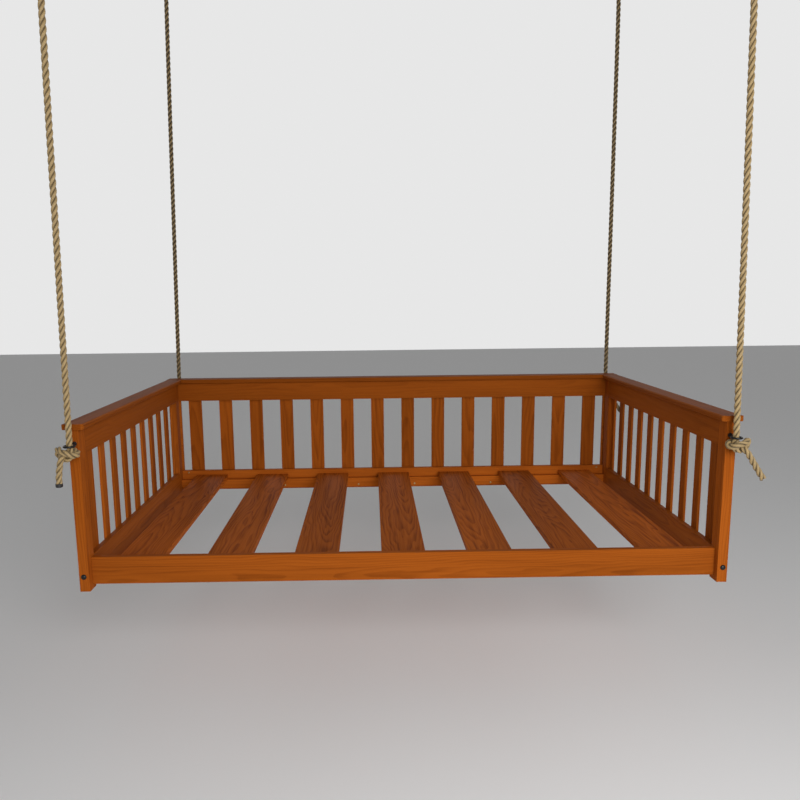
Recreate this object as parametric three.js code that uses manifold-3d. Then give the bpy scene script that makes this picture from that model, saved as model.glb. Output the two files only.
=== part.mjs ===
// A hanging day-bed porch swing: a slatted wooden bed on four ropes from four ceiling hangers.
// Millimetres, +Z up, the open front faces -Y. The origin is in the ceiling plane, over the middle
// of the bed and halfway between the front and the back ropes. Inside the swing group, Y = 0 is the
// front face of the front legs and Z = 0 is under their feet.
import * as THREE from 'three';
import { mergeVertices } from 'three/addons/utils/BufferGeometryUtils.js';
import Module from 'manifold-3d';

const wasm = await Module();
wasm.setup();

// ---- driving dimensions ----

// legs and rails
const LEG_INNER_X = 968;
const LEG_OUTER_X = 999;
const LEG_DEPTH = 46;
const LEG_HEIGHT = 509;
const BACK_LEG_Y = 1030;
const RAIL = 19;
const RAIL_BOTTOM = 14;
const RAIL_HEIGHT = 89;
const TOP_RAIL_HEIGHT = 82;
const FRONT_RAIL_SETBACK = 21.5;
const FRONT_RAIL_BOTTOM = 15;
const FRONT_RAIL_HEIGHT = 87;
const LEDGER_HEIGHT = 40;
const LAP = 1;

// slats, stiles and seat boards
const SLAT = 9;
const SIDE_SLATS = 8;
const SIDE_SLAT_WIDTH = 39;
const FRONT_STILE_END_Y = { left: 136, right: 126 };
const BACK_STILE_START_Y = { left: 1029, right: 1003 };
const BACK_SLATS = 14;
const BACK_SLAT_WIDTH = 58;
const BACK_SLAT_PITCH = 138.5;
const BACK_STILE_INNER_X = 964;
const SEAT_BOARDS = 7;
const SEAT_BOARD_WIDTH = 140;
const SEAT_BOARD_PITCH = 277;
const SEAT_BOARD = 19;
const SEAT_TOP = 83;

// caps on the top rails
const CAP_WIDTH = 66;
const CAP = 17;
const CAP_INNER_X = 947;
const CAP_FRONT_Y = -13;
const CAP_BACK_Y = 1121.5;
const CAP_EDGE_RADIUS = 5;
const CAP_CORNER_RADIUS = 9;

// the two ends, each with the height of its eye bolts, and their distance from the ceiling hangers'
// eyes above, which is the same at both ends so that the bed stays level as it swings
const FRONT_ROPE_Y = -37;
const BACK_ROPE_Y = 1148;
const FRONT_EYE_Z = 465;
const BACK_EYE_Z = 456;
const EYE_TO_HANGER_EYE = 1790;

// each corner's distances from the middle: the eye bolt, the rope in it and the rope at its hanger
const CORNERS = {
  front_left: { eyeX: 981, footX: 980, headX: 948 },
  front_right: { eyeX: 979.5, footX: 978.5, headX: 929 },
  back_left: { eyeX: 982.5, footX: 982, headX: 944 },
  back_right: { eyeX: 990, footX: 991, headX: 982 },
};

// eye bolts
const EYE_RING_RADIUS = 15;
const EYE_ROD = 6;
const SHANK = 7;
const SHANK_IN_FRONT_LEG = 36;
const SHANK_IN_BACK = 62;
const BORE_CLEARANCE = 0.3;
const WASHER = 14;
const WASHER_THICKNESS = 1.5;
const NUT_ACROSS_FLATS = 11;
const NUT_THICKNESS = 5.5;
const FACE_GAP = 0.3;

// ropes and ceiling hangers
const ROPE = 19;
const ROPE_SIDES = 8;
const CEILING_Z = 2310;
const HANGER_PLATE = 64;
const HANGER_PLATE_THICKNESS = 6;
const HANGER_HOLE = 7;
const HANGER_HOLE_OFFSET = 22;
const HANGER_RING_RADIUS = 18.5;
const HANGER_ROD = 8;
const HANGER_SHANK = 10;
const HANGER_GAP = 0.6;

// worked out from the above
const RAIL_TOP = RAIL_BOTTOM + RAIL_HEIGHT;
const TOP_RAIL_BOTTOM = LEG_HEIGHT - TOP_RAIL_HEIGHT;
const BACK_RAIL_Y = BACK_LEG_Y + LEG_DEPTH;
const BACK_SLAT_Y = BACK_RAIL_Y + RAIL;
const BACK_FACE_Y = BACK_SLAT_Y + SLAT;
const SLAT_INNER_X = LEG_INNER_X + RAIL;
const SLAT_OUTER_X = SLAT_INNER_X + SLAT;
const CAP_OUTER_X = CAP_INNER_X + CAP_WIDTH;
const BACK_CAP_FRONT_Y = CAP_BACK_Y - CAP_WIDTH;
const SEAT_FRONT_Y = FRONT_RAIL_SETBACK + RAIL;
const SEAT_BOTTOM = SEAT_TOP - SEAT_BOARD;

// ---- materials ----

const WOOD = { color: 0x96491a, roughness: 0.42, metalness: 0 };
const BLACK_STEEL = { color: 0x161616, roughness: 0.4, metalness: 0.8 };
const MANILA = { color: 0xb59c6e, roughness: 0.9, metalness: 0 };

function piece(name, geometry, finish) {
  const mesh = new THREE.Mesh(geometry, new THREE.MeshStandardMaterial(finish));
  mesh.name = name;
  return mesh;
}

// ---- solids ----

function solid(geometry) {
  const bare = geometry.clone();
  bare.deleteAttribute('normal');
  bare.deleteAttribute('uv');
  const merged = mergeVertices(bare, 1e-4);
  const vertProperties = new Float32Array(merged.attributes.position.array);
  const triVerts = new Uint32Array(merged.index.array);
  return new wasm.Manifold(new wasm.Mesh({ numProp: 3, vertProperties, triVerts }));
}

function geometryOf(manifold) {
  const mesh = manifold.getMesh();
  const geometry = new THREE.BufferGeometry();
  geometry.setAttribute('position', new THREE.BufferAttribute(new Float32Array(mesh.vertProperties), 3));
  geometry.setIndex(new THREE.BufferAttribute(new Uint32Array(mesh.triVerts), 1));
  geometry.computeVertexNormals();
  return geometry;
}

function join(...solids) {
  return solids.reduce((joined, next) => joined.add(next));
}

function boxGeometry([x0, y0, z0], [x1, y1, z1]) {
  const geometry = new THREE.BoxGeometry(Math.abs(x1 - x0), y1 - y0, z1 - z0);
  return geometry.translate((x0 + x1) / 2, (y0 + y1) / 2, (z0 + z1) / 2);
}

function block(low, high) {
  return solid(boxGeometry(low, high));
}

// A block on the left (side = -1) or the right (side = 1), given by its distances from the middle.
function sideBlock(side, [x0, y0, z0], [x1, y1, z1]) {
  return block([side * x0, y0, z0], [side * x1, y1, z1]);
}

function rodAlongY(x, y0, y1, z, diameter, sides = 12) {
  const rod = new THREE.CylinderGeometry(diameter / 2, diameter / 2, y1 - y0, sides);
  return solid(rod.translate(0, (y0 + y1) / 2, 0).translate(x, 0, z));
}

function rodAlongZ(x, y, z0, z1, diameter, sides = 12) {
  const rod = new THREE.CylinderGeometry(diameter / 2, diameter / 2, z1 - z0, sides);
  return solid(rod.rotateX(Math.PI / 2).translate(x, y, (z0 + z1) / 2));
}

// ---- the two sides, the two ends and the four corners ----

const SIDES = { left: -1, right: 1 };

// facing = -1 at the front and 1 at the back, which is the way that the eye bolts point.
const ENDS = {
  front: { facing: -1, faceY: 0, ropeY: FRONT_ROPE_Y, eyeZ: FRONT_EYE_Z, shankInWood: SHANK_IN_FRONT_LEG },
  back: { facing: 1, faceY: BACK_FACE_Y, ropeY: BACK_ROPE_Y, eyeZ: BACK_EYE_Z, shankInWood: SHANK_IN_BACK },
};

function corner(endName, sideName) {
  return { side: SIDES[sideName], ...ENDS[endName], ...CORNERS[`${endName}_${sideName}`] };
}

// ---- bed frame ----

function eyeBoltBore(endName, sideName, y0, y1) {
  const { side, eyeX, eyeZ } = corner(endName, sideName);
  return rodAlongY(side * eyeX, y0, y1, eyeZ, SHANK + 2 * BORE_CLEARANCE);
}

// A leg with the side end stile against it, which carries on the outer face of the side rails.
function frontLeg(sideName) {
  const side = SIDES[sideName];
  const post = sideBlock(side, [LEG_INNER_X, 0, 0], [LEG_OUTER_X, LEG_DEPTH, LEG_HEIGHT]);
  const stileLow = [SLAT_INNER_X, LEG_DEPTH - LAP, RAIL_BOTTOM];
  const stile = sideBlock(side, stileLow, [SLAT_OUTER_X, FRONT_STILE_END_Y[sideName], LEG_HEIGHT]);
  const bore = eyeBoltBore('front', sideName, -LAP, SHANK_IN_FRONT_LEG + LAP);
  return join(post, stile).subtract(bore);
}

function backLeg(sideName) {
  const side = SIDES[sideName];
  const post = sideBlock(side, [LEG_INNER_X, BACK_LEG_Y, 0], [LEG_OUTER_X, BACK_RAIL_Y, LEG_HEIGHT]);
  const stileLow = [SLAT_INNER_X, BACK_STILE_START_Y[sideName], RAIL_BOTTOM];
  const stile = sideBlock(side, stileLow, [SLAT_OUTER_X, BACK_LEG_Y + LAP, LEG_HEIGHT]);
  const bore = eyeBoltBore('back', sideName, BACK_FACE_Y - SHANK_IN_BACK - LAP, BACK_RAIL_Y + LAP);
  return join(post, stile).subtract(bore);
}

// The front rail with the ledger behind it that the seat boards rest on.
function frontRail() {
  const rail = block([-LEG_INNER_X, FRONT_RAIL_SETBACK, FRONT_RAIL_BOTTOM],
    [LEG_INNER_X, SEAT_FRONT_Y, FRONT_RAIL_BOTTOM + FRONT_RAIL_HEIGHT]);
  const ledger = block([-LEG_INNER_X, SEAT_FRONT_Y - LAP, SEAT_BOTTOM - LEDGER_HEIGHT],
    [LEG_INNER_X, SEAT_FRONT_Y + RAIL, SEAT_BOTTOM]);
  return join(rail, ledger);
}

// The back bottom rail across the back legs, with its ledger and the two back end stiles.
function backBottomRail() {
  const rail = block([-LEG_OUTER_X, BACK_RAIL_Y, RAIL_BOTTOM], [LEG_OUTER_X, BACK_SLAT_Y, RAIL_TOP]);
  const ledger = block([-LEG_INNER_X, BACK_RAIL_Y - RAIL, SEAT_BOTTOM - LEDGER_HEIGHT],
    [LEG_INNER_X, BACK_RAIL_Y + LAP, SEAT_BOTTOM]);
  const stiles = Object.entries(SIDES).map(([sideName, side]) => {
    const footLow = [BACK_STILE_INNER_X, BACK_SLAT_Y - LAP, RAIL_BOTTOM];
    const foot = sideBlock(side, footLow, [LEG_OUTER_X, BACK_FACE_Y, RAIL_TOP]);
    const stileLow = [BACK_STILE_INNER_X, BACK_SLAT_Y, RAIL_BOTTOM];
    const stile = sideBlock(side, stileLow, [LEG_OUTER_X, BACK_FACE_Y, LEG_HEIGHT]);
    const bore = eyeBoltBore('back', sideName, BACK_SLAT_Y - LAP, BACK_FACE_Y + LAP);
    return join(foot, stile).subtract(bore);
  });
  return join(rail, ledger, ...stiles);
}

function sideBottomRail(side) {
  return sideBlock(side, [LEG_INNER_X, LEG_DEPTH, RAIL_BOTTOM], [SLAT_INNER_X, BACK_LEG_Y, RAIL_TOP]);
}

// The rounded section of a cap, extruded to a length: wide along X, thick along Y, long along Z.
function roundedRectangle(width, height, radius) {
  const [x, y] = [width / 2, height / 2];
  const outline = new THREE.Shape();
  outline.moveTo(-x + radius, -y);
  outline.lineTo(x - radius, -y);
  outline.absarc(x - radius, -y + radius, radius, -Math.PI / 2, 0);
  outline.lineTo(x, y - radius);
  outline.absarc(x - radius, y - radius, radius, 0, Math.PI / 2);
  outline.lineTo(-x + radius, y);
  outline.absarc(-x + radius, y - radius, radius, Math.PI / 2, Math.PI);
  outline.lineTo(-x, -y + radius);
  outline.absarc(-x + radius, -y + radius, radius, Math.PI, 1.5 * Math.PI);
  return outline;
}

function extrude(outline, depth) {
  return new THREE.ExtrudeGeometry(outline, { depth, bevelEnabled: false, curveSegments: 5 });
}

// A side cap: rounded along its edges and at its front corners, square where it meets the back cap.
function sideCap(side) {
  const length = BACK_CAP_FRONT_Y - CAP_FRONT_Y;
  const middleX = side * (CAP_INNER_X + CAP_OUTER_X) / 2;
  const middleZ = LEG_HEIGHT + CAP / 2;
  const board = extrude(roundedRectangle(CAP_WIDTH, CAP, CAP_EDGE_RADIUS), length);
  board.rotateX(Math.PI / 2).translate(middleX, BACK_CAP_FRONT_Y, middleZ);
  const planLength = length + 2 * CAP_CORNER_RADIUS;
  const plan = extrude(roundedRectangle(CAP_WIDTH, planLength, CAP_CORNER_RADIUS), 2 * CAP);
  plan.translate(middleX, CAP_FRONT_Y + planLength / 2, middleZ - CAP);
  return solid(board).intersect(solid(plan));
}

function sideTopRailWithCap(side) {
  const railHigh = [SLAT_INNER_X, BACK_LEG_Y, LEG_HEIGHT + LAP];
  const rail = sideBlock(side, [LEG_INNER_X, LEG_DEPTH, TOP_RAIL_BOTTOM], railHigh);
  return join(rail, sideCap(side));
}

function backTopRailWithCap() {
  const rail = block([-LEG_OUTER_X, BACK_RAIL_Y, TOP_RAIL_BOTTOM],
    [LEG_OUTER_X, BACK_SLAT_Y, LEG_HEIGHT + LAP]);
  const length = 2 * CAP_OUTER_X;
  const board = extrude(roundedRectangle(CAP_WIDTH, CAP, CAP_EDGE_RADIUS), length);
  board.rotateX(Math.PI / 2).rotateZ(Math.PI / 2);
  board.translate(-CAP_OUTER_X, BACK_CAP_FRONT_Y + CAP_WIDTH / 2, LEG_HEIGHT + CAP / 2);
  const bores = Object.keys(SIDES).map((sideName) => (
    eyeBoltBore('back', sideName, BACK_RAIL_Y - LAP, BACK_SLAT_Y + LAP)
  ));
  return bores.reduce((body, bore) => body.subtract(bore), join(rail, solid(board)));
}

// The slats of a side are spaced evenly between its end stiles.
function sideSlat(sideName, index) {
  const side = SIDES[sideName];
  const [start, end] = [FRONT_STILE_END_Y[sideName], BACK_STILE_START_Y[sideName]];
  const gap = (end - start - SIDE_SLATS * SIDE_SLAT_WIDTH) / (SIDE_SLATS + 1);
  const y = start + gap + index * (SIDE_SLAT_WIDTH + gap);
  const low = [side * SLAT_INNER_X, y, RAIL_BOTTOM];
  return boxGeometry(low, [side * SLAT_OUTER_X, y + SIDE_SLAT_WIDTH, LEG_HEIGHT]);
}

function backSlat(index) {
  const x = (index - (BACK_SLATS - 1) / 2) * BACK_SLAT_PITCH;
  const low = [x - BACK_SLAT_WIDTH / 2, BACK_SLAT_Y, RAIL_BOTTOM];
  return boxGeometry(low, [x + BACK_SLAT_WIDTH / 2, BACK_FACE_Y, LEG_HEIGHT]);
}

function seatBoard(index) {
  const x = (index - (SEAT_BOARDS - 1) / 2) * SEAT_BOARD_PITCH;
  const low = [x - SEAT_BOARD_WIDTH / 2, SEAT_FRONT_Y, SEAT_BOTTOM];
  return boxGeometry(low, [x + SEAT_BOARD_WIDTH / 2, BACK_RAIL_Y, SEAT_TOP]);
}

// ---- eye bolts: a level ring on a shank, with its nut and washer against the wood ----

function eyeBolt({ side, facing, faceY, ropeY, eyeX, eyeZ, shankInWood }) {
  const rod = (near, far, diameter, sides) => {
    const [y0, y1] = [faceY + facing * near, faceY + facing * far].sort((a, b) => a - b);
    return rodAlongY(side * eyeX, y0, y1, eyeZ, diameter, sides);
  };
  const ring = new THREE.TorusGeometry(EYE_RING_RADIUS, EYE_ROD / 2, 8, 20);
  ring.translate(side * eyeX, ropeY, eyeZ);
  const washerTop = FACE_GAP + WASHER_THICKNESS;
  const nutCorners = NUT_ACROSS_FLATS / Math.cos(Math.PI / 6);
  return join(
    solid(ring),
    rod(-shankInWood, Math.abs(ropeY - faceY) - EYE_RING_RADIUS, SHANK, 12),
    rod(FACE_GAP, washerTop, WASHER, 20),
    rod(washerTop - LAP, washerTop + NUT_THICKNESS, nutCorners, 6),
  );
}

// ---- ceiling hangers: a screwed plate with an upright ring below it ----

function hanger({ side, headX, ropeY: y, eyeZ }) {
  const x = side * headX;
  const plateBottom = CEILING_Z - HANGER_PLATE_THICKNESS;
  const half = HANGER_PLATE / 2;
  const plate = block([x - half, y - half, plateBottom], [x + half, y + half, CEILING_Z]);
  const ringBottom = eyeZ + EYE_TO_HANGER_EYE - ROPE / 2 - HANGER_GAP;
  const ringZ = ringBottom - HANGER_ROD / 2 + HANGER_RING_RADIUS;
  const ring = new THREE.TorusGeometry(HANGER_RING_RADIUS, HANGER_ROD / 2, 8, 20);
  ring.rotateY(Math.PI / 2).translate(x, y, ringZ);
  const shank = rodAlongZ(x, y, ringZ + HANGER_RING_RADIUS, plateBottom + LAP, HANGER_SHANK);
  const holes = [];
  for (const dx of [-HANGER_HOLE_OFFSET, HANGER_HOLE_OFFSET]) {
    for (const dy of [-HANGER_HOLE_OFFSET, HANGER_HOLE_OFFSET]) {
      holes.push(rodAlongZ(x + dx, y + dy, plateBottom - LAP, CEILING_Z + LAP, HANGER_HOLE, 8));
    }
  }
  return holes.reduce((body, hole) => body.subtract(hole), join(plate, solid(ring), shank));
}

// ---- ropes ----

// Points are [outboard, outward, up]: outward is away from the bed, to the front or to the back.
// The knot under the eye bolt and the hitch under the hanger are solids of their outer shape.
const KNOT_CENTRE = [9.5, 0, -25.5];
const KNOT_SIZE = [74, 50, 42];
const HANGING_TAIL = [[20, 8, -30], [26, 14, -52], [31, 12, -75], [34, 10, -97], [35, 9, -118]];
const SLANTED_TAIL = [[20, 8, -30], [34, 13, -49], [51, 10, -74], [69, 8, -101], [85, 6, -124]];
const TAILS = { left: HANGING_TAIL, right: SLANTED_TAIL };
const HITCH_CENTRE = [1.2, 0, -64];
const HITCH_SIZE = [57, 57, 52];
const HANGER_LOOP = [
  [-4, 0, -50], [-10, 0, -34], [-16, 0, -17], [-11.5, 0, -4.5], [0, 0, 0],
  [11.5, 0, -4.5], [16, 0, -17], [19.5, 0, -34], [19, 0, -50],
];
const HITCH_TAIL = [[-18, 0, -68], [-18.5, 2, -79], [-19.5, 0, -90]];

function tube(points, spacing) {
  const path = new THREE.CatmullRomCurve3(points, false, 'centripetal');
  const section = new THREE.Shape();
  section.absarc(0, 0, ROPE / 2, 0, 2 * Math.PI);
  const steps = Math.ceil(path.getLength() / spacing);
  const options = { steps, extrudePath: path, curveSegments: ROPE_SIDES / 2 };
  return solid(new THREE.ExtrudeGeometry(section, options));
}

function ball(centre, [width, depth, height]) {
  const sphere = new THREE.SphereGeometry(0.5, 12, 8);
  return solid(sphere.rotateX(Math.PI / 2).scale(width, depth, height).translate(...centre.toArray()));
}

function rope({ side, facing, ropeY, eyeZ, footX, headX }, tail) {
  const place = (x, z) => ([out, away, up]) => (
    new THREE.Vector3(side * (x + out), ropeY + facing * away, z + up)
  );
  const atFoot = place(footX, eyeZ);
  const atHead = place(headX, eyeZ + EYE_TO_HANGER_EYE);
  return join(
    tube([atFoot([0, 0, -24]), atHead(HITCH_CENTRE)], 2.5 * ROPE),
    ball(atFoot(KNOT_CENTRE), KNOT_SIZE),
    tube(tail.map(atFoot), ROPE),
    tube(HANGER_LOOP.map(atHead), 0.7 * ROPE),
    ball(atHead(HITCH_CENTRE), HITCH_SIZE),
    tube(HITCH_TAIL.map(atHead), ROPE),
  );
}

// ---- the swing ----

const swing = new THREE.Group();
swing.name = 'porch_swing';
swing.position.set(0, -(FRONT_ROPE_Y + BACK_ROPE_Y) / 2, -CEILING_Z);

function add(name, geometry, finish) {
  swing.add(piece(name, geometry, finish));
}

for (const [sideName, side] of Object.entries(SIDES)) {
  add(`leg_front_${sideName}`, geometryOf(frontLeg(sideName)), WOOD);
  add(`leg_back_${sideName}`, geometryOf(backLeg(sideName)), WOOD);
  add(`bottom_rail_${sideName}`, geometryOf(sideBottomRail(side)), WOOD);
  add(`cap_and_top_rail_${sideName}`, geometryOf(sideTopRailWithCap(side)), WOOD);
  for (let i = 0; i < SIDE_SLATS; i += 1) {
    add(`side_slat_${sideName}_${i + 1}`, sideSlat(sideName, i), WOOD);
  }
  for (const endName of Object.keys(ENDS)) {
    const here = corner(endName, sideName);
    add(`eye_bolt_${endName}_${sideName}`, geometryOf(eyeBolt(here)), BLACK_STEEL);
    add(`rope_${endName}_${sideName}`, geometryOf(rope(here, TAILS[sideName])), MANILA);
    add(`ceiling_hanger_${endName}_${sideName}`, geometryOf(hanger(here)), BLACK_STEEL);
  }
}

add('front_rail', geometryOf(frontRail()), WOOD);
add('bottom_rail_back', geometryOf(backBottomRail()), WOOD);
add('cap_and_top_rail_back', geometryOf(backTopRailWithCap()), WOOD);
for (let i = 0; i < BACK_SLATS; i += 1) {
  add(`back_slat_${i + 1}`, backSlat(i), WOOD);
}
for (let i = 0; i < SEAT_BOARDS; i += 1) {
  add(`seat_board_${i + 1}`, seatBoard(i), WOOD);
}

export default swing;
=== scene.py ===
import math

import bpy
import numpy as np
from mathutils import Matrix, Vector


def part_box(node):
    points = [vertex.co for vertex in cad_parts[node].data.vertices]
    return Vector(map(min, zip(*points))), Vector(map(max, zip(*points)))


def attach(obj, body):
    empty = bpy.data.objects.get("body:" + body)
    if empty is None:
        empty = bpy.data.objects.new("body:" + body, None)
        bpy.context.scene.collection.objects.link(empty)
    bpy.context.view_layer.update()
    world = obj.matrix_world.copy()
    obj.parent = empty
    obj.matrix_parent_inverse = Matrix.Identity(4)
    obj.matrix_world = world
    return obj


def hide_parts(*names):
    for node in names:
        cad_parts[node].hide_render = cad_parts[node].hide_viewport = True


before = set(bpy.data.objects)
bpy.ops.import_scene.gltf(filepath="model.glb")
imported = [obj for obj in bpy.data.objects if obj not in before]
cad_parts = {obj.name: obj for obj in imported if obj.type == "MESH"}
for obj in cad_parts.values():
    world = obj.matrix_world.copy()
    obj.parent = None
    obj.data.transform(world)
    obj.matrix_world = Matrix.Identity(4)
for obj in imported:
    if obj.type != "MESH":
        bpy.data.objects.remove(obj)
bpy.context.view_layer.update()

# A hanging day-bed porch swing: the frame's boards get wood, and the ropes, knots, eye bolts,
# hangers, bolt heads and screws are made here. Metres, +Z up, the open front faces -Y.

# ---- camera ----

CAMERA_PLACE = (-0.0956, -2.5755, -1.416)
CAMERA_YAW = math.radians(0.573)
CAMERA_PITCH = math.radians(8.760)
CAMERA_ROLL = math.radians(-0.642)
CAMERA_LENS = 31.05
CAMERA_SHIFT = (0.027, 0.001)


def make_camera():
    data = bpy.data.cameras.new("camera")
    data.lens = CAMERA_LENS
    data.sensor_width = 36
    data.shift_x, data.shift_y = CAMERA_SHIFT
    camera = bpy.data.objects.new("camera", data)
    bpy.context.scene.collection.objects.link(camera)
    ahead = Vector((
        math.sin(CAMERA_YAW) * math.cos(CAMERA_PITCH),
        math.cos(CAMERA_YAW) * math.cos(CAMERA_PITCH),
        -math.sin(CAMERA_PITCH),
    ))
    right = Vector((math.cos(CAMERA_YAW), -math.sin(CAMERA_YAW), 0))
    up = right.cross(ahead)
    right_rolled = math.cos(CAMERA_ROLL) * right + math.sin(CAMERA_ROLL) * up
    up_rolled = math.cos(CAMERA_ROLL) * up - math.sin(CAMERA_ROLL) * right
    turn = Matrix((right_rolled, up_rolled, -ahead)).transposed()
    camera.matrix_world = Matrix.Translation(CAMERA_PLACE) @ turn.to_4x4()
    bpy.context.scene.camera = camera


make_camera()

# ---- shader helpers ----


class Nodes:
    """Adds shader nodes to a new material, with short calls for the common ones."""

    def __init__(self, name):
        self.material = bpy.data.materials.new(name)
        self.material.use_nodes = True
        self.tree = self.material.node_tree
        self.tree.nodes.clear()
        self.shader = self.add("ShaderNodeBsdfPrincipled")
        output = self.add("ShaderNodeOutputMaterial")
        self.tree.links.new(self.shader.outputs[0], output.inputs[0])

    def add(self, kind, **settings):
        node = self.tree.nodes.new(kind)
        for key, value in settings.items():
            setattr(node, key, value)
        return node

    def set(self, socket, value):
        """A link from another node's output, or a plain value."""
        if isinstance(value, bpy.types.NodeSocket):
            self.tree.links.new(value, socket)
        else:
            socket.default_value = value

    def math(self, operation, *values, clamp=False):
        node = self.add("ShaderNodeMath", operation=operation, use_clamp=clamp)
        for socket, value in zip(node.inputs, values):
            self.set(socket, value)
        return node.outputs[0]

    def vector(self, operation, *values):
        node = self.add("ShaderNodeVectorMath", operation=operation)
        for socket, value in zip(node.inputs, values):
            self.set(socket, value)
        return node.outputs["Value" if operation == "LENGTH" else "Vector"]

    def combine(self, x, y, z):
        node = self.add("ShaderNodeCombineXYZ")
        for socket, value in zip(node.inputs, (x, y, z)):
            self.set(socket, value)
        return node.outputs[0]

    def separate(self, vector):
        node = self.add("ShaderNodeSeparateXYZ")
        self.set(node.inputs[0], vector)
        return node.outputs[0], node.outputs[1], node.outputs[2]

    def noise(self, vector, scale=1.0, detail=2.0, roughness=0.5, distortion=0.0):
        node = self.add("ShaderNodeTexNoise")
        self.set(node.inputs["Vector"], vector)
        for key, value in (("Scale", scale), ("Detail", detail), ("Roughness", roughness)):
            self.set(node.inputs[key], value)
        self.set(node.inputs["Distortion"], distortion)
        return node.outputs["Fac"]

    def smooth(self, value, low, high, start=0.0, end=1.0):
        node = self.add("ShaderNodeMapRange", interpolation_type="SMOOTHSTEP")
        for socket, number in zip(node.inputs, (value, low, high, start, end)):
            self.set(socket, number)
        return node.outputs[0]

    def mix(self, factor, a, b):
        node = self.add("ShaderNodeMix", data_type="RGBA")
        self.set(node.inputs["Factor"], factor)
        self.set(node.inputs["A"], a)
        self.set(node.inputs["B"], b)
        return node.outputs["Result"]

    def mix_value(self, factor, a, b):
        node = self.add("ShaderNodeMix", data_type="FLOAT")
        self.set(node.inputs["Factor"], factor)
        self.set(node.inputs["A"], a)
        self.set(node.inputs["B"], b)
        return node.outputs["Result"]

    def scaled(self, colour, factor):
        """A colour made lighter or darker by a varying factor."""
        node = self.add("ShaderNodeVectorMath", operation="SCALE")
        self.set(node.inputs[0], colour)
        self.set(node.inputs["Scale"], factor)
        return node.outputs[0]

    def bump(self, height, distance, strength=1.0):
        node = self.add("ShaderNodeBump")
        self.set(node.inputs["Height"], height)
        node.inputs["Distance"].default_value = distance
        node.inputs["Strength"].default_value = strength
        return node.outputs[0]

    def finish(self, colour, roughness, normal=None, **sockets):
        self.set(self.shader.inputs["Base Color"], colour)
        self.set(self.shader.inputs["Roughness"], roughness)
        if normal is not None:
            self.set(self.shader.inputs["Normal"], normal)
        for key, value in sockets.items():
            self.shader.inputs[key.replace("_", " ")].default_value = value
        return self.material


SIDES = {"left": -1, "right": 1}

# ---- ropes ----

ROPE = 0.019
STRANDS = 3
STRAND_RADIUS = 0.00475
STRAND_OFFSET = 0.00465
STRAND_SIDES = 12
LAY_LENGTH = 0.066
ROPE_STEP = 0.0033

# The strands of a cut end stand this share farther apart, over this length.
END_SPREAD = 0.16
END_SPREAD_LENGTH = 0.012

# Where the ropes hang: how far in front of or behind the middle, how far to the side of it at the
# eye bolt and at the hanger, how high the eye bolt's ring is, and how far above it the hanger's is.
ROPE_Y = 0.5925
ROPE_FOOT_AND_HEAD_X = {
    "front_left": (0.980, 0.948), "front_right": (0.9785, 0.929),
    "back_left": (0.982, 0.944), "back_right": (0.991, 0.982),
}
EYE_Z = {"front": -1.845, "back": -1.854}
EYE_TO_HANGER_EYE = 1.790

# A rope's route in millimetres, as (outboard, outward, up) from its eye bolt's or its hanger's
# ring. Outward is away from the bed, to the front or to the back.
HANGING_TAIL = [(35, 9, -118), (34, 10, -97), (31, 12, -75), (26, 14, -52)]
SLANTED_TAIL = [(85, 6, -124), (69, 8, -101), (51, 10, -74), (34, 13, -49)]
STOPPER_KNOT = [
    (21, 13, -33), (17, 2, -25), (12, -14, -20.5), (-1, -20, -17.5), (-13, -15, -19.5),
    (-19, -1, -25.5), (-13, 14, -24.5), (2, 19, -17.5), (19, 14, -14), (33, 2, -8),
    (37, -6, -23.5), (24, -6, -37), (6, -1, -38.5), (-2, -2, -26), (-1, -1, -12),
]
EYE_PLACES = [(0, 0, 0), (-0.5, 0, 30)]
HANGER_HITCH = [
    (1.5, 0, -82), (0, 0, -55), (-10, 0, -34), (-16, 0, -17), (-11.5, 0, -4.5), (0, 0, 0),
    (11.5, 0, -4.5), (16, 0, -17), (19.5, 0, -32), (20.5, 2, -45), (11, 17, -48.5), (-8, 17, -52),
    (-18, 0, -55.5), (-8, -17, -59), (11, -17, -62.5), (20.5, 0, -66), (11, 17, -69.5),
    (-8, 17, -73.5), (-18.5, 2, -79), (-19.5, 0, -90),
]


def smooth_route(points, samples=24):
    """A centripetal Catmull-Rom curve through the points."""
    points = np.array(points, float)
    ends = (2 * points[0] - points[1], 2 * points[-1] - points[-2])
    padded = np.vstack([ends[0], points, ends[1]])
    line = []
    for p0, p1, p2, p3 in zip(padded, padded[1:], padded[2:], padded[3:]):
        t1 = np.linalg.norm(p1 - p0) ** 0.5
        t2 = t1 + np.linalg.norm(p2 - p1) ** 0.5
        t3 = t2 + np.linalg.norm(p3 - p2) ** 0.5
        t = np.linspace(t1, t2, samples, endpoint=False)[:, None]
        a1 = (t1 - t) / t1 * p0 + t / t1 * p1
        a2 = (t2 - t) / (t2 - t1) * p1 + (t - t1) / (t2 - t1) * p2
        a3 = (t3 - t) / (t3 - t2) * p2 + (t - t2) / (t3 - t2) * p3
        b1 = (t2 - t) / t2 * a1 + t / t2 * a2
        b2 = (t3 - t) / (t3 - t1) * a2 + (t - t1) / (t3 - t1) * a3
        line.append((t2 - t) / (t2 - t1) * b1 + (t - t1) / (t2 - t1) * b2)
    return np.vstack([*line, points[-1:]])


def lengths_along(line):
    return np.concatenate([[0], np.cumsum(np.linalg.norm(np.diff(line, axis=0), axis=1))])


def evenly_spaced(line, step):
    along = lengths_along(line)
    at = np.linspace(0, along[-1], round(along[-1] / step) + 1)
    return np.stack([np.interp(at, along, line[:, k]) for k in range(3)], axis=1)


def unit(vectors):
    return vectors / np.linalg.norm(vectors, axis=-1, keepdims=True)


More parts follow.
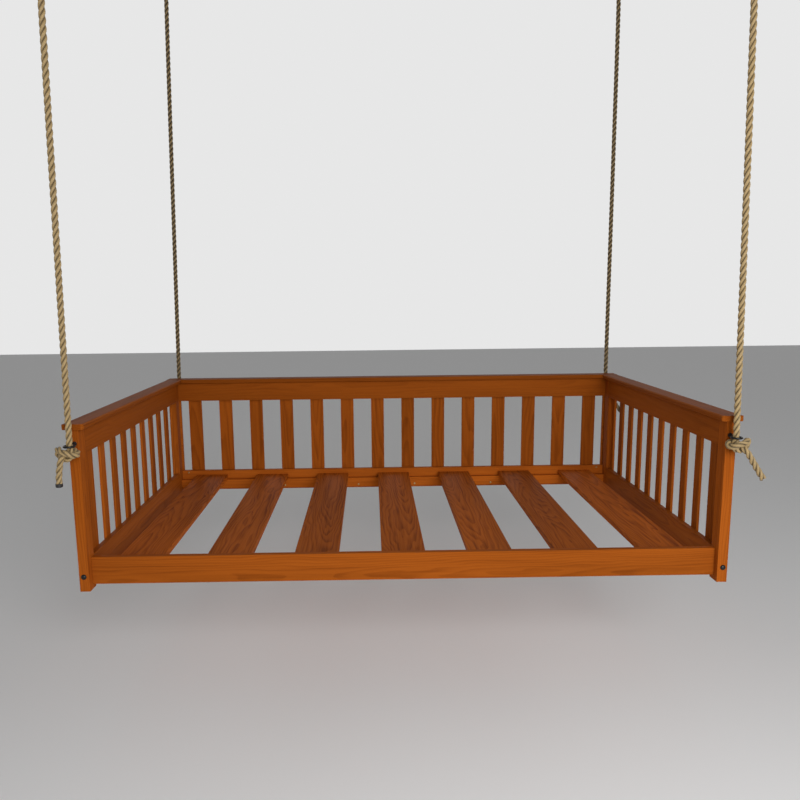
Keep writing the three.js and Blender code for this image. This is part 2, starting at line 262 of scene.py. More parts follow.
def frames_along(line):
    """Two directions across the line at each of its points, which don't twist about it."""
    tangents = unit(np.gradient(line, axis=0))
    start = np.cross(tangents[0], (0.0, 1.0, 0.0))
    normals = [start / np.linalg.norm(start)]
    for tangent in tangents[1:]:
        carried = normals[-1] - tangent * (normals[-1] @ tangent)
        normals.append(carried / np.linalg.norm(carried))
    normals = np.array(normals)
    return normals, np.cross(tangents, normals)


def new_mesh(name, vertices, faces, smooth=True):
    mesh = bpy.data.meshes.new(name)
    mesh.from_pydata([tuple(v) for v in vertices], [], faces)
    mesh.polygons.foreach_set("use_smooth", [smooth] * len(mesh.polygons))
    mesh.update()
    piece = bpy.data.objects.new(name, mesh)
    bpy.context.scene.collection.objects.link(piece)
    return piece


def ring_faces(rings, sides, first=0):
    """Quads between rings of vertices, with a cap at each end."""
    faces = []
    for i in range(rings - 1):
        for j in range(sides):
            k = (j + 1) % sides
            low, high = first + i * sides, first + (i + 1) * sides
            faces.append((low + j, low + k, high + k, high + j))
    faces.append(tuple(first + j for j in reversed(range(sides))))
    faces.append(tuple(first + (rings - 1) * sides + j for j in range(sides)))
    return faces


# How far apart along the uv map two strands start, so that their fibres differ.
STRAND_UV_SHIFT = 3.1


def rope_mesh(name, line):
    """Three strands laid round the line, with uv along and round each strand.

    The crown attribute is near 1 on a strand's outermost line and falls towards the grooves.
    """
    normals, across = frames_along(line)
    along = lengths_along(line)
    rings = len(line)
    turn = 2 * math.pi * along / LAY_LENGTH
    to_end = np.minimum(along, along[-1] - along)
    opened = 1 + END_SPREAD * np.clip(1 - to_end / END_SPREAD_LENGTH, 0, 1) ** 2
    vertices, faces, uv, crown = [], [], [], []
    around = np.linspace(0, 2 * math.pi, STRAND_SIDES, endpoint=False)
    for strand in range(STRANDS):
        angle = (turn + 2 * math.pi * strand / STRANDS)[:, None]
        outward = np.cos(angle) * normals + np.sin(angle) * across
        centre = line + outward * (STRAND_OFFSET * opened)[:, None]
        way = unit(np.gradient(centre, axis=0))
        outward = unit(outward - way * (outward * way).sum(1, keepdims=True))
        sideways = np.cross(way, outward)
        first = strand * rings * STRAND_SIDES
        ring = (
            outward[:, None, :] * np.cos(around)[None, :, None]
            + sideways[:, None, :] * np.sin(around)[None, :, None]
        )
        vertices.append((centre[:, None, :] + STRAND_RADIUS * ring).reshape(-1, 3))
        faces += ring_faces(rings, STRAND_SIDES, first)
        reach = np.sqrt(STRAND_OFFSET ** 2 + STRAND_RADIUS ** 2
                        + 2 * STRAND_OFFSET * STRAND_RADIUS * np.cos(around))
        crown.append(np.tile((reach / (ROPE / 2)) ** 2, rings))
        shift = strand * STRAND_UV_SHIFT
        for i in range(rings - 1):
            for j in range(STRAND_SIDES):
                u0, u1 = along[i] + shift, along[i + 1] + shift
                v0, v1 = j / STRAND_SIDES, (j + 1) / STRAND_SIDES
                uv += [(u0, v0), (u0, v1), (u1, v1), (u1, v0)]
        uv += [(along[0] + shift, 0.5)] * STRAND_SIDES
        uv += [(along[-1] + shift, 0.5)] * STRAND_SIDES
    piece = new_mesh(name, np.vstack(vertices), faces)
    layer = piece.data.uv_layers.new(name="along_and_round")
    layer.data.foreach_set("uv", np.array(uv, np.float32).ravel())
    depth = piece.data.attributes.new("crown", "FLOAT", "POINT")
    depth.data.foreach_set("value", np.concatenate(crown).astype(np.float32))
    return piece


# Each pair of ropes: the strands' pale colour, the painted shade in the grooves between the
# strands, and the crown value up to which it is all painted groove shade.
ROPE_LOOKS = {
    "front": ((0.433, 0.300, 0.132, 1), (0.057, 0.036, 0.013, 1), 0.25),
    # Painted shade: the back pair is a darker copy of the front one, with wider dark grooves, for
    # the back ropes' lower light.
    "back": ((0.25, 0.164, 0.060, 1), (0.020, 0.013, 0.005, 1), 0.55),
}
YARNS = 9
YARN_TURNS_PER_METRE = 15.8
FIBRE_LENGTHWISE = 60.0
FIBRE_CROSSWISE = 42.0
STAIN_SCALE = 38.0


def rope_material(name, strand_colour, groove_shade_colour, groove_crown):
    nodes = Nodes(name)
    uv = nodes.add("ShaderNodeUVMap", uv_map="along_and_round").outputs[0]
    u, v, _ = nodes.separate(uv)
    yarn = nodes.math("MULTIPLY_ADD", u, YARN_TURNS_PER_METRE, v)
    phase = nodes.math("MULTIPLY", yarn, math.pi * YARNS)
    wave = nodes.math("ABSOLUTE", nodes.math("SINE", phase))
    place = nodes.add("ShaderNodeTexCoord").outputs["Object"]
    fibre_u = nodes.math("MULTIPLY", u, FIBRE_LENGTHWISE)
    fibre_v = nodes.math("MULTIPLY", yarn, FIBRE_CROSSWISE)
    fibre = nodes.noise(nodes.combine(fibre_u, fibre_v, 0.0), 1.0, 3.0, 0.65)
    stain = nodes.noise(place, STAIN_SCALE, 2.0)
    depth = nodes.add("ShaderNodeAttribute", attribute_name="crown").outputs["Fac"]
    # Painted shade: the colour darkens from the strands' crowns into the grooves between them.
    lit = nodes.smooth(depth, groove_crown, 0.98, 0.05, 1.0)
    pale = nodes.math("MULTIPLY", lit, nodes.math("MULTIPLY_ADD", wave, 0.35, 0.62))
    pale = nodes.math("MULTIPLY", pale, nodes.math("MULTIPLY_ADD", fibre, 0.75, 0.62))
    pale = nodes.math("MULTIPLY", pale, nodes.math("MULTIPLY_ADD", stain, 0.5, 0.75), clamp=True)
    colour = nodes.mix(pale, groove_shade_colour, strand_colour)
    yarn_height = nodes.math("MULTIPLY", wave, 0.6)
    height = nodes.math("ADD", yarn_height, nodes.math("MULTIPLY", fibre, 0.4))
    normal = nodes.bump(height, 0.0009, 0.8)
    roughness = nodes.math("MULTIPLY_ADD", fibre, 0.2, 0.5)
    return nodes.finish(colour, roughness, normal, Sheen_Weight=0.08, Sheen_Roughness=0.4)


def black_material(name, roughness, metallic, mottle):
    """Black coated steel or black tape: a faint mottle."""
    nodes = Nodes(name)
    place = nodes.add("ShaderNodeTexCoord").outputs["Object"]
    spots = nodes.noise(place, mottle, 3.0, 0.6)
    colour = nodes.mix(spots, (0.006, 0.006, 0.007, 1), (0.026, 0.025, 0.025, 1))
    normal = nodes.bump(spots, 0.0002, 0.5)
    level = nodes.math("MULTIPLY_ADD", spots, 0.3, roughness - 0.15)
    return nodes.finish(colour, level, normal, Metallic=metallic)


def swept(name, line, radii, sides):
    """A round tube along a line, with its own radius at each point."""
    normals, across = frames_along(line)
    around = np.linspace(0, 2 * math.pi, sides, endpoint=False)
    ring = (
        normals[:, None, :] * np.cos(around)[None, :, None]
        + across[:, None, :] * np.sin(around)[None, :, None]
    )
    vertices = (line[:, None, :] + np.array(radii)[:, None, None] * ring).reshape(-1, 3)
    return new_mesh(name, vertices, ring_faces(len(line), sides))


TAPE_LENGTH = 0.013
TAPE_STEP = 0.001
TAPE_THICKNESS = 0.0006
TAPE_SIDES = 28

# The tape's closed end: how far past the rope's end, and the share of the rope's radius there.
TAPE_END = [(0.0022, 0.45), (0.0018, 0.75), (0.001, 0.97)]


def end_tape(name, line):
    """A short band of black tape round the first part of a rope, closed over its end."""
    inner = evenly_spaced(line[lengths_along(line) <= TAPE_LENGTH], TAPE_STEP)
    outward = unit(inner[0] - inner[1])
    ends = np.array([inner[0] + outward * past for past, _ in TAPE_END])
    path = np.vstack([ends, inner])
    radii = np.full(len(path), ROPE / 2 + TAPE_THICKNESS)
    radii[:len(TAPE_END)] = ROPE / 2 * np.array([share for _, share in TAPE_END])
    radii[-1] = ROPE / 2 - TAPE_THICKNESS
    return swept(name, path, radii, TAPE_SIDES)


def make_rope(end, side_name, rope_finish, tape_finish):
    side, facing = SIDES[side_name], -1 if end == "front" else 1

    def place(base, point):
        out, away, up = (value / 1000 for value in point)
        return (side * (base[0] + out), facing * (ROPE_Y + away), base[1] + up)

    tail = HANGING_TAIL if side < 0 else SLANTED_TAIL
    foot_x, head_x = ROPE_FOOT_AND_HEAD_X[f"{end}_{side_name}"]
    foot_at, head_at = (foot_x, EYE_Z[end]), (head_x, EYE_Z[end] + EYE_TO_HANGER_EYE)
    foot = [place(foot_at, p) for p in [*tail, *STOPPER_KNOT, *EYE_PLACES]]
    head = [place(head_at, p) for p in HANGER_HITCH]
    line = evenly_spaced(smooth_route(foot + head), ROPE_STEP)
    name = f"laid_rope_{end}_{side_name}"
    rope = rope_mesh(name, line)
    rope.data.materials.append(rope_finish)
    body = f"{end}_ropes"
    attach(rope, body)
    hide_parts(f"rope_{end}_{side_name}")
    for place_name, part in (("head", line[::-1]), ("foot", line)):
        # The right tails are cut bare.
        if place_name == "foot" and side > 0:
            continue
        tape = end_tape(f"tape_{place_name}_{end}_{side_name}", part)
        tape.data.materials.append(tape_finish)
        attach(tape, body)


def make_ropes():
    tape_finish = black_material("black_tape", 0.5, 0.0, 300.0)
    for end, look in ROPE_LOOKS.items():
        rope_finish = rope_material(f"three_strand_rope_{end}", *look)
        for side_name in SIDES:
            make_rope(end, side_name, rope_finish, tape_finish)


make_ropes()

# ---- wood ----

LIGHT_WOOD = (0.325, 0.078, 0.0080, 1)
DARK_WOOD = (0.135, 0.027, 0.0030, 1)
WORN_WOOD = (0.38, 0.105, 0.014, 1)
SEAM = (0.030, 0.008, 0.002, 1)
GLOSS = 0.03
GLOSS_TINT = (1.0, 0.55, 0.25, 1)
SMOOTHEST, FIBRE_ROUGHNESS = 0.42, 0.20
SEAM_FADE = (0.0012, 0.0003)
WORN_SHARE = 0.35
END_GRAIN_DARKENING = 0.35
BEVEL = 0.0016
BEVEL_FROM = math.radians(50)
WELD_DISTANCE = 0.00001
LEG_DEPTH = 0.046


class Board:
    """How one board was cut: its grain axis, its broad axis, and where the tree's heart ran."""

    def __init__(self, along, across, seed, heart=0.07, tilt=0.02, rings=0.0075, tone=1.0,
                 figure=1.0, contrast=0.8):
        self.along, self.across = "XYZ".index(along), "XYZ".index(across)
        self.deep = 3 - self.along - self.across
        self.heart, self.tilt, self.rings = heart, tilt, rings
        self.tone, self.figure, self.contrast = tone, figure, contrast
        draw = np.random.default_rng(seed)
        self.offset = draw.uniform(-5, 5, 3).tolist()
        self.side = float(draw.uniform(-0.6, 0.6)) * 0.05
        self.tilt *= float(draw.choice([-1, 1])) * float(draw.uniform(0.5, 1.5))
        self.heart *= float(draw.uniform(0.8, 1.3))
        self.tone *= float(draw.uniform(0.92, 1.08))


def grain(nodes, board, centre):
    """Colour and height of one board, from growth rings round a heart line and fine fibres."""
    place = nodes.add("ShaderNodeTexCoord").outputs["Object"]
    axes = nodes.separate(nodes.vector("SUBTRACT", place, tuple(centre)))
    along, across, deep = axes[board.along], axes[board.across], axes[board.deep]
    shifted = nodes.math("ADD", along, board.offset[0])

    def drawn_out(scale_along, scale_across, shift_across, shift_deep):
        """A place in the board for a noise that is long along the grain."""
        return nodes.combine(
            nodes.math("MULTIPLY", shifted, scale_along),
            nodes.math("MULTIPLY", nodes.math("ADD", across, shift_across), scale_across),
            nodes.math("MULTIPLY", nodes.math("ADD", deep, shift_deep), scale_across),
        )

    slow = drawn_out(1.6, 9.0, board.offset[1], board.offset[2])
    wander = nodes.math("SUBTRACT", nodes.noise(slow, 1.0, 3.0, 0.55), 0.5)
    wander_2 = nodes.math("SUBTRACT", nodes.noise(slow, 1.37, 2.0, 0.5, 0.4), 0.5)
    u = nodes.math("ADD", nodes.math("ADD", across, board.side),
                   nodes.math("MULTIPLY", wander, 0.045 * board.figure))
    v = nodes.math("ADD", nodes.math("ADD", deep, board.heart),
                   nodes.math("MULTIPLY", along, board.tilt))
    v = nodes.math("ADD", v, nodes.math("MULTIPLY", wander_2, 0.030 * board.figure))
    radius = nodes.vector("LENGTH", nodes.combine(u, v, 0.0))
    ring = nodes.math("FRACT", nodes.math("DIVIDE", radius, board.rings))
    late = nodes.math("MULTIPLY", nodes.smooth(ring, 0.25, 0.88), nodes.smooth(ring, 1.0, 0.93))
    fibre_place = drawn_out(6.0, 420.0, board.offset[1], board.offset[2])
    fibre = nodes.noise(fibre_place, 1.0, 3.0, 0.6)
    streak_place = drawn_out(2.2, 75.0, board.offset[2], board.offset[0])
    streak = nodes.noise(streak_place, 1.0, 2.0, 0.55)
    cloud = nodes.noise(slow, 0.45, 1.0)
    dark = nodes.math("MULTIPLY", late, nodes.math("MULTIPLY_ADD", streak, 0.7, 0.15))
    dark = nodes.math("ADD", nodes.math("MULTIPLY", dark, 0.75),
                      nodes.math("MULTIPLY", nodes.smooth(fibre, 0.42, 0.72), 0.22))
    dark = nodes.math("ADD", dark, nodes.math("MULTIPLY", nodes.smooth(streak, 0.35, 0.75), 0.28))
    dark = nodes.math("MULTIPLY", dark, board.contrast, clamp=True)
    colour = nodes.mix(dark, LIGHT_WOOD, DARK_WOOD)
    tone = nodes.math("MULTIPLY_ADD", nodes.smooth(cloud, 0.3, 0.7), 0.22, 0.89)
    colour = nodes.scaled(colour, nodes.math("MULTIPLY", tone, board.tone))
    ring_height = nodes.math("MULTIPLY", late, 0.35)
    height = nodes.math("ADD", ring_height, nodes.math("MULTIPLY", fibre, 0.65))
    return colour, height, fibre


def wood(name, board, centre, second=None, seam=None):
    """Wood for a node.

    second = (board, axis, limit, above) is another board, joined to it past a limit.
    seam = (axis, limit) is a dark joint line there.
    """
    nodes = Nodes(name)
    colour, height, fibre = grain(nodes, board, centre)
    place = nodes.add("ShaderNodeTexCoord")
    if second:
        other, axis, limit, above = second
        colour_2, height_2, _ = grain(nodes, other, centre)
        position = nodes.separate(place.outputs["Object"])["XYZ".index(axis)]
        past = nodes.math("GREATER_THAN" if above else "LESS_THAN", position, limit)
        colour = nodes.mix(past, colour, colour_2)
        height = nodes.mix_value(past, height, height_2)
    facing = nodes.separate(nodes.vector("ABSOLUTE", place.outputs["Normal"]))
    if seam:
        axis, limit = seam
        position = nodes.separate(place.outputs["Object"])["XYZ".index(axis)]
        near = nodes.math("ABSOLUTE", nodes.math("SUBTRACT", position, limit))
        beside = nodes.math("LESS_THAN", facing["XYZ".index(axis)], 0.5)
        line = nodes.math("MULTIPLY", nodes.smooth(near, *SEAM_FADE), beside)
        colour = nodes.mix(line, colour, SEAM)
    squareness = nodes.math("MAXIMUM", facing[0], nodes.math("MAXIMUM", facing[1], facing[2]))
    edge = nodes.smooth(squareness, 0.995, 0.90)
    edge = nodes.math("MULTIPLY", edge, nodes.smooth(fibre, 0.35, 0.6))
    colour = nodes.mix(nodes.math("MULTIPLY", edge, WORN_SHARE), colour, WORN_WOOD)
    end = nodes.smooth(facing[board.along], 0.9, 0.99)
    if not second:
        colour = nodes.scaled(colour, nodes.math("MULTIPLY_ADD", end, -END_GRAIN_DARKENING, 1.0))
    roughness = nodes.math("MULTIPLY_ADD", fibre, FIBRE_ROUGHNESS, SMOOTHEST)
    return nodes.finish(colour, roughness, nodes.bump(height, 0.0004, 0.7),
                        Specular_IOR_Level=GLOSS, Specular_Tint=GLOSS_TINT)


def middle(node):
    low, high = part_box(node)
    return (low + high) / 2


def dress(node, material):
    """Gives a CAD node its material and eases its sharp edges."""
    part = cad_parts[node]
    part.data.materials.clear()
    part.data.materials.append(material)
    part.modifiers.new("weld", "WELD").merge_threshold = WELD_DISTANCE
    bevel = part.modifiers.new("eased edges", "BEVEL")
    bevel.width = BEVEL
    bevel.segments = 2
    bevel.limit_method = "ANGLE"
    bevel.angle_limit = BEVEL_FROM


# How the boards were cut: how deep the tree's heart lay and how it slanted, and how wide the rings
# are. Tone is how pale a board is, figure how much its rings wander, contrast how dark they are.
POST = {"heart": 0.05, "rings": 0.006}
SIDE_STILE = {"heart": 0.05, "tilt": 0.03}
BACK_STILE = {"heart": 0.05}
SLAT = {"heart": 0.05, "tilt": 0.035, "rings": 0.007}
RAIL = {"heart": 0.06, "tilt": 0.012, "rings": 0.006}
FRONT_RAIL = {"heart": 0.06, "tilt": 0.012, "rings": 0.005, "contrast": 0.7}
CAP = {"heart": 0.05, "tilt": 0.012, "tone": 0.76, "contrast": 0.6}
SEAT = {"heart": 0.035, "tilt": 0.05, "rings": 0.0085, "tone": 1.36, "figure": 2.2, "contrast": 1.2}
# Painted shade: the back slats are the side slats' wood made a tenth darker, for the back panel's
# lower light.
BACK_SLAT_SHADE_TONE = 0.9
BACK_BOTTOM_RAIL_TONE = 1.25
BACK_TOP_RAIL_TONE = 0.80
SIDE_TOP_RAIL_TONE = 0.90

# Added to a node's seed for the second of its two boards.
SECOND_BOARD = 500


def leg_wood(name, node, centre, seed):
    """A post with the side's end stile against it, and the dark line between them."""
    low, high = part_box(node)
    front = "front" in node
    joint = low.y + LEG_DEPTH if front else high.y - LEG_DEPTH
    post = Board("Z", "X", seed, **POST)
    stile = Board("Z", "Y", seed + SECOND_BOARD, **SIDE_STILE)
    return wood(name, post, centre, (stile, "Y", joint, front), ("Y", joint))


def back_bottom_rail_wood(name, centre, seed):
    """The bottom rail with the two end stiles of the back behind it."""
    rail = Board("X", "Z", seed, tone=BACK_BOTTOM_RAIL_TONE, **RAIL)
    stile = Board("Z", "X", seed + SECOND_BOARD, **BACK_STILE)
    stile_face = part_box("back_slat_1")[0].y
    return wood(name, rail, centre, (stile, "Y", stile_face + 0.0005, True))


def cap_wood(name, node, centre, seed):
    """A cap with the top rail under it."""
    back = node.endswith("back")
    length, width = ("X", "Y") if back else ("Y", "X")
    tone = BACK_TOP_RAIL_TONE if back else SIDE_TOP_RAIL_TONE
    rail = Board(length, "Z", seed, tone=tone, contrast=0.4, **RAIL)
    cap = Board(length, width, seed + SECOND_BOARD, **CAP)
    cap_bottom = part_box("side_slat_left_1")[1].z
    return wood(name, rail, centre, (cap, "Z", cap_bottom, True))


def board_wood(node, centre, seed):
    name = "wood_" + node
    if node.startswith("seat_board"):
        return wood(name, Board("Y", "X", seed, **SEAT), centre)
    if node.startswith("back_slat"):
        return wood(name, Board("Z", "X", seed, tone=BACK_SLAT_SHADE_TONE, **SLAT), centre)
    if node.startswith("side_slat"):
        return wood(name, Board("Z", "Y", seed, **SLAT), centre)
    if node.startswith("leg_"):
        return leg_wood(name, node, centre, seed)
    if node == "front_rail":
        return wood(name, Board("X", "Z", seed, **FRONT_RAIL), centre)
    if node == "bottom_rail_back":
        return back_bottom_rail_wood(name, centre, seed)
    if node.startswith("bottom_rail"):
        return wood(name, Board("Y", "Z", seed, **RAIL), centre)
    if node.startswith("cap_and_top_rail"):
        return cap_wood(name, node, centre, seed)
    return None


def dress_boards():
    """Each node's place in the sorted list seeds its wood; the ropes and steel have none."""
    for seed, node in enumerate(sorted(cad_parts), 101):
        material = board_wood(node, middle(node), seed)
        if material:
            dress(node, material)


dress_boards()


# ---- steel: eye bolts, hangers, bolt heads and screws ----

EYE_RING_RADIUS = 0.015
EYE_ROD = 0.006
EYE_SHANK = 0.007
WASHER_RADIUS = 0.007
NUT_CORNERS = 0.0127
HANGER_RING_RADIUS = 0.0185
HANGER_ROD = 0.008
PLATE_THICKNESS = 0.006
PLATE_CORNER = 0.008
PLATE_CORNER_POINTS = 7
PLATE_SCREW_OFFSET = 0.022
PLATE_SCREW_RADIUS = 0.006
BOLT_HEAD_RADIUS = 0.0085
BOLT_HEAD_RISE = 0.0055
BOLT_HEAD_FROM_OUTER_FACE = 0.014
BOLT_HEAD_ABOVE_FOOT = 0.047
RAIL_SCREW_RADIUS = 0.0042
RING_SEGMENTS, ROD_SIDES = 56, 18
SHARP_FROM = math.radians(35)


def turned(name, profile, sides, place, axis, facet=False):
    """A solid turned about an axis: profile is (distance along it, radius) from end to end."""
    direction = Vector(axis).normalized()
    turn = direction.to_track_quat("Z", "Y").to_matrix()
    vertices = []
    for height, radius in profile:
        for j in range(sides):
            angle = 2 * math.pi * j / sides
            local = Vector((radius * math.cos(angle), radius * math.sin(angle), height))
            vertices.append(Vector(place) + turn @ local)
    return new_mesh(name, vertices, ring_faces(len(profile), sides), not facet)


def ring(name, place, radius, rod, axis):
    """A round ring of round rod."""
    turn = Vector(axis).to_track_quat("Z", "Y").to_matrix()
    vertices, faces = [], []
    for i in range(RING_SEGMENTS):
        a = 2 * math.pi * i / RING_SEGMENTS
        here, there = i * ROD_SIDES, (i + 1) % RING_SEGMENTS * ROD_SIDES
        for j in range(ROD_SIDES):
            b = 2 * math.pi * j / ROD_SIDES
            reach = radius + rod / 2 * math.cos(b)
            local = Vector((reach * math.cos(a), reach * math.sin(a), rod / 2 * math.sin(b)))
            vertices.append(Vector(place) + turn @ local)
            k = (j + 1) % ROD_SIDES
            faces.append((here + j, there + j, there + k, here + k))
    return new_mesh(name, vertices, faces)


def joined(name, parts):
    """Joins meshes into the first one, and gives it its name."""
    for part in parts:
        part.select_set(False)
    with bpy.context.temp_override(active_object=parts[0], selected_editable_objects=parts,
                                   selected_objects=parts, object=parts[0]):
        bpy.ops.object.join()
    parts[0].name = name
    parts[0].data.name = name
    return parts[0]


def smooth_by_angle(piece):
    """Flat faces stay crisp and round ones shade smoothly."""
    piece.data.shade_smooth()
    piece.data.set_sharp_from_angle(angle=SHARP_FROM)


def thread(start, end, radius, pitch=0.0015):
    """The stepped profile of a threaded rod between two places along its axis."""
    profile, at = [(start, radius * 0.8)], start
    while at + pitch < end:
        profile += [(at, radius * 0.86), (at + pitch / 2, radius)]
        at += pitch
    return [*profile, (end, radius * 0.86)]


def make_eye_bolt(end, side_name, finish):
    facing = -1 if end == "front" else 1
    node = f"eye_bolt_{end}_{side_name}"
    low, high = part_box(node)
    x, z = (low.x + high.x) / 2, (low.z + high.z) / 2
    ring_edge = low.y if facing < 0 else high.y
    ring_y = ring_edge - facing * (EYE_RING_RADIUS + EYE_ROD / 2)
    buried = high.y if facing < 0 else low.y
    face_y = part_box("leg_front_left")[0].y if facing < 0 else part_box("back_slat_1")[1].y
    near_ring = abs(ring_y - face_y) - EYE_RING_RADIUS
    washer = [(0.0003, WASHER_RADIUS - 0.0003), (0.0006, WASHER_RADIUS),
              (0.0015, WASHER_RADIUS), (0.0018, WASHER_RADIUS - 0.0004)]
    nut = [(0.0018, NUT_CORNERS / 2 - 0.0004), (0.0024, NUT_CORNERS / 2),
           (0.0066, NUT_CORNERS / 2), (0.0073, NUT_CORNERS / 2 - 0.0009)]
    collar = [(near_ring - 0.006, 0.0037), (near_ring - 0.002, 0.0048),
              (near_ring + 0.001, 0.0043), (near_ring + 0.002, 0.0025)]
    shank = thread(-abs(buried - face_y), near_ring - 0.003, EYE_SHANK / 2)
    parts = [ring("eye", (x, ring_y, z), EYE_RING_RADIUS, EYE_ROD, (0, 0, 1))]
    for name, profile, sides in (("collar", collar, 24), ("shank", shank, 20),
                                 ("washer", washer, 40), ("nut", nut, 6)):
        parts.append(turned(name, profile, sides, (x, face_y, z), (0, facing, 0)))
    bolt = joined(f"steel_{node}", parts)
    smooth_by_angle(bolt)
    bolt.data.materials.append(finish)
    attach(bolt, "bed")
    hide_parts(node)


def plate_outline(x, y, half, corner):
    points = []
    for i, (sx, sy) in enumerate(((1, 1), (-1, 1), (-1, -1), (1, -1))):
        for k in range(PLATE_CORNER_POINTS):
            angle = math.pi / 2 * (i + k / (PLATE_CORNER_POINTS - 1))
            points.append((x + sx * (half - corner) + corner * math.cos(angle),
                           y + sy * (half - corner) + corner * math.sin(angle)))
    return points


def make_plate(name, low, high):
    """The hanger's plate: rounded corners and an eased lower edge."""
    half = (high.x - low.x) / 2
    x, y = (low.x + high.x) / 2, (low.y + high.y) / 2
    bottom, top = high.z - PLATE_THICKNESS, high.z
    vertices = []
    for z, inset in ((bottom, 0.0012), (bottom + 0.0012, 0), (top - 0.0004, 0), (top, 0.0004)):
        outline = plate_outline(x, y, half - inset, PLATE_CORNER)
        vertices += [(px, py, z) for px, py in outline]
    return new_mesh(name, vertices, ring_faces(4, 4 * PLATE_CORNER_POINTS))


def screw_head(name, place, axis, radius):
    """A pan head with a hexagonal socket."""
    rise = radius * 0.55
    rim = [(0, radius * 0.98), (rise * 0.45, radius),
           (rise * 0.8, radius * 0.86), (rise, radius * 0.5)]
    head = turned(name, rim, 24, place, axis)
    socket_place = Vector(place) + Vector(axis) * (rise + 0.00005)
    socket = turned(name + "_socket", [(-0.0001, radius * 0.42), (0.0003, radius * 0.36)], 6,
                    socket_place, axis, facet=True)
    return head, socket


def make_hanger(end, side_name, finish):
    node = f"ceiling_hanger_{end}_{side_name}"
    low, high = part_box(node)
    x, y = (low.x + high.x) / 2, (low.y + high.y) / 2
    ring_z = low.z + HANGER_ROD / 2 + HANGER_RING_RADIUS
    shank_end = ring_z + HANGER_RING_RADIUS
    plate_bottom = high.z - PLATE_THICKNESS
    parts = [
        make_plate("plate", low, high),
        ring("eye", (x, y, ring_z), HANGER_RING_RADIUS, HANGER_ROD, (1, 0, 0)),
        turned("shank", [(shank_end - 0.002, 0.0042), (shank_end + 0.003, 0.0056),
                         (shank_end + 0.008, 0.0050), (plate_bottom - 0.009, 0.0050),
                         (plate_bottom - 0.003, 0.0062), (plate_bottom + 0.001, 0.0098)],
               28, (x, y, 0), (0, 0, 1)),
    ]
    for dx in (-PLATE_SCREW_OFFSET, PLATE_SCREW_OFFSET):
        for dy in (-PLATE_SCREW_OFFSET, PLATE_SCREW_OFFSET):
            screw_place = (x + dx, y + dy, plate_bottom + 0.0002)
            parts += screw_head("screw", screw_place, (0, 0, -1), PLATE_SCREW_RADIUS)
    hanger = joined(f"steel_{node}", parts)
    smooth_by_angle(hanger)
    hanger.data.materials.append(finish)
    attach(hanger, "ceiling_hangers")
    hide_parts(node)


def make_bolt_heads(finish):
    """Domed bolt heads at the foot of the front legs, which hold the front rail's ends."""
    for side_name in SIDES:
        low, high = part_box(f"leg_front_{side_name}")
        outer = low.x if SIDES[side_name] < 0 else high.x
        x = outer - SIDES[side_name] * BOLT_HEAD_FROM_OUTER_FACE
        z = low.z + BOLT_HEAD_ABOVE_FOOT
        dome = [(-0.002, BOLT_HEAD_RADIUS)]
        for angle in np.linspace(0, 1.45, 9):
            dome.append((BOLT_HEAD_RISE * math.sin(angle), BOLT_HEAD_RADIUS * math.cos(angle)))
        head = turned(f"bolt_head_{side_name}", dome, 32, (x, low.y, z), (0, -1, 0))
        head.data.materials.append(finish)
        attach(head, "bed")


# Screws: how far right of the middle, and how far above the seat boards' undersides.
RAIL_SCREWS = [(-0.940, 0.030), (0.940, 0.030)]
LEDGER_SCREWS = [(-0.497, -0.030), (-0.160, -0.030), (0.097, -0.030), (0.447, -0.030)]


def screw_material():
    """Yellow zinc: a dull brassy metal, blotched."""
    nodes = Nodes("yellow_zinc")
    spots = nodes.noise(nodes.add("ShaderNodeTexCoord").outputs["Object"], 500.0, 2.0)
    colour = nodes.mix(spots, (0.20, 0.13, 0.05, 1), (0.48, 0.36, 0.17, 1))
    return nodes.finish(colour, nodes.math("MULTIPLY_ADD", spots, 0.2, 0.35), Metallic=0.8)


def make_screws():
    """Small pan heads on the front faces of the back bottom rail and of the ledger under it."""
    finish = screw_material()
    seat_bottom, rail_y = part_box("seat_board_1")[0].z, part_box("seat_board_1")[1].y
    ledger_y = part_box("bottom_rail_back")[0].y
    places = [(x, rail_y, up) for x, up in RAIL_SCREWS]
    places += [(x, ledger_y, up) for x, up in LEDGER_SCREWS]
    for number, (x, y, up) in enumerate(places, 1):
        place = (x, y - 0.0001, seat_bottom + up)
        parts = screw_head("screw", place, (0, -1, 0), RAIL_SCREW_RADIUS)
        head = joined(f"rail_screw_{number}", list(parts))
        smooth_by_angle(head)
        head.data.materials.append(finish)
        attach(head, "bed")


def make_steel():
    finish = black_material("black_coated_steel", 0.38, 0.6, 260.0)
    for end in ("front", "back"):
        for side_name in SIDES:
            make_eye_bolt(end, side_name, finish)
            make_hanger(end, side_name, finish)
    make_bolt_heads(finish)
    make_screws()


make_steel()


# ---- floor and light ----

FLOOR_BELOW_CEILING = 2.74
FLOOR_HALF_WIDTH = 14
FLOOR_COLOUR = (0.86, 0.86, 0.86, 1)
MIDDLE_OF_BED = (0, 0, -2.0)
KEY_PLACE = (0.9, -3.6, -0.9)
KEY_SIZE = 2.2
KEY_POWER = 106
WORLD_HORIZON = 0.80
WORLD_ZENITH = 0.12
WORLD_FADE = (0.40, 0.80)
FRONT_DIMMING = 0.5
FRONT_FADE = (-0.45, 0.15)


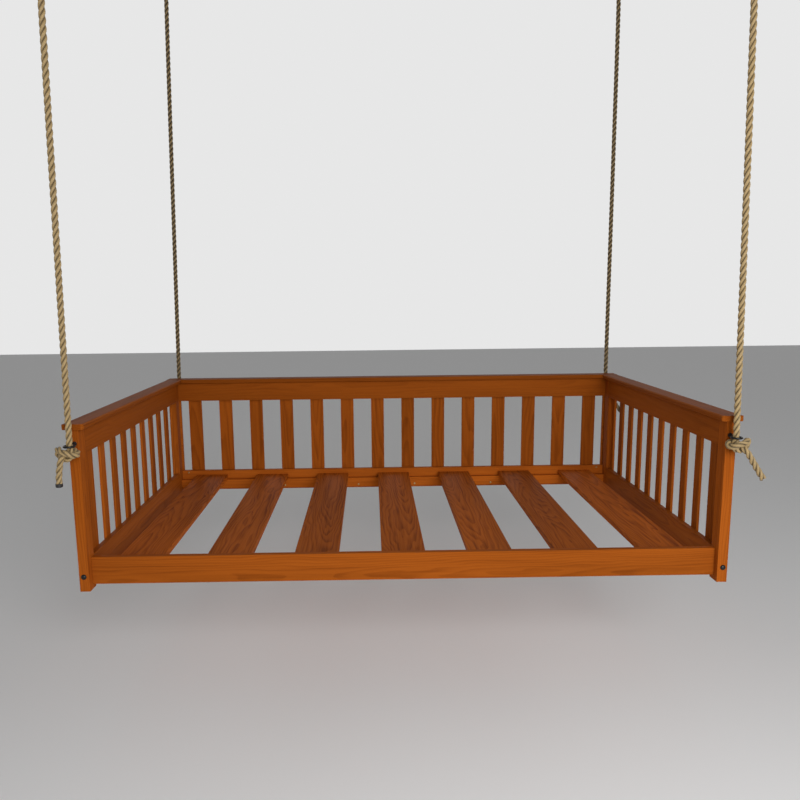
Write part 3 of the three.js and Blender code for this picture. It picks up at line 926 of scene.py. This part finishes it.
def make_floor():
    mesh = bpy.data.meshes.new("floor")
    half, z = FLOOR_HALF_WIDTH, -FLOOR_BELOW_CEILING
    corners = [(-half, -half, z), (half, -half, z), (half, half, z), (-half, half, z)]
    mesh.from_pydata(corners, [], [(0, 1, 2, 3)])
    floor = bpy.data.objects.new("floor", mesh)
    bpy.context.scene.collection.objects.link(floor)
    nodes = Nodes("pale_floor")
    floor.data.materials.append(nodes.finish(FLOOR_COLOUR, 0.9))


def make_light(name, place, target, size, power):
    data = bpy.data.lights.new(name, "AREA")
    data.shape = "DISK"
    data.size = size
    data.energy = power
    light = bpy.data.objects.new(name, data)
    bpy.context.scene.collection.objects.link(light)
    light.location = place
    light.rotation_mode = "QUATERNION"
    light.rotation_quaternion = (Vector(target) - Vector(place)).to_track_quat("-Z", "Y")


def make_world():
    """Soft light: brightest at the horizon behind the swing, dimmer overhead and in front of it."""
    world = bpy.data.worlds.new("studio")
    world.use_nodes = True
    tree = world.node_tree
    background = tree.nodes["Background"]
    direction = tree.nodes.new("ShaderNodeTexCoord").outputs["Generated"]
    split = tree.nodes.new("ShaderNodeSeparateXYZ")
    tree.links.new(direction, split.inputs[0])

    def faded(coordinate, span, start, end):
        """A smooth change from start to end, over a span of a direction's coordinate."""
        fade = tree.nodes.new("ShaderNodeMapRange")
        fade.interpolation_type = "SMOOTHSTEP"
        for socket, value in zip(fade.inputs[1:5], (*span, start, end)):
            socket.default_value = value
        tree.links.new(split.outputs[coordinate], fade.inputs[0])
        return fade.outputs[0]

    strength = tree.nodes.new("ShaderNodeMath")
    strength.operation = "MULTIPLY"
    tree.links.new(faded("Z", WORLD_FADE, WORLD_HORIZON, WORLD_ZENITH), strength.inputs[0])
    tree.links.new(faded("Y", FRONT_FADE, FRONT_DIMMING, 1.0), strength.inputs[1])
    tree.links.new(strength.outputs[0], background.inputs["Strength"])
    background.inputs["Color"].default_value = (1, 1, 1, 1)
    bpy.context.scene.world = world


make_floor()
make_world()
make_light("key", KEY_PLACE, MIDDLE_OF_BED, KEY_SIZE, KEY_POWER)
bpy.context.scene.view_settings.view_transform = "Standard"
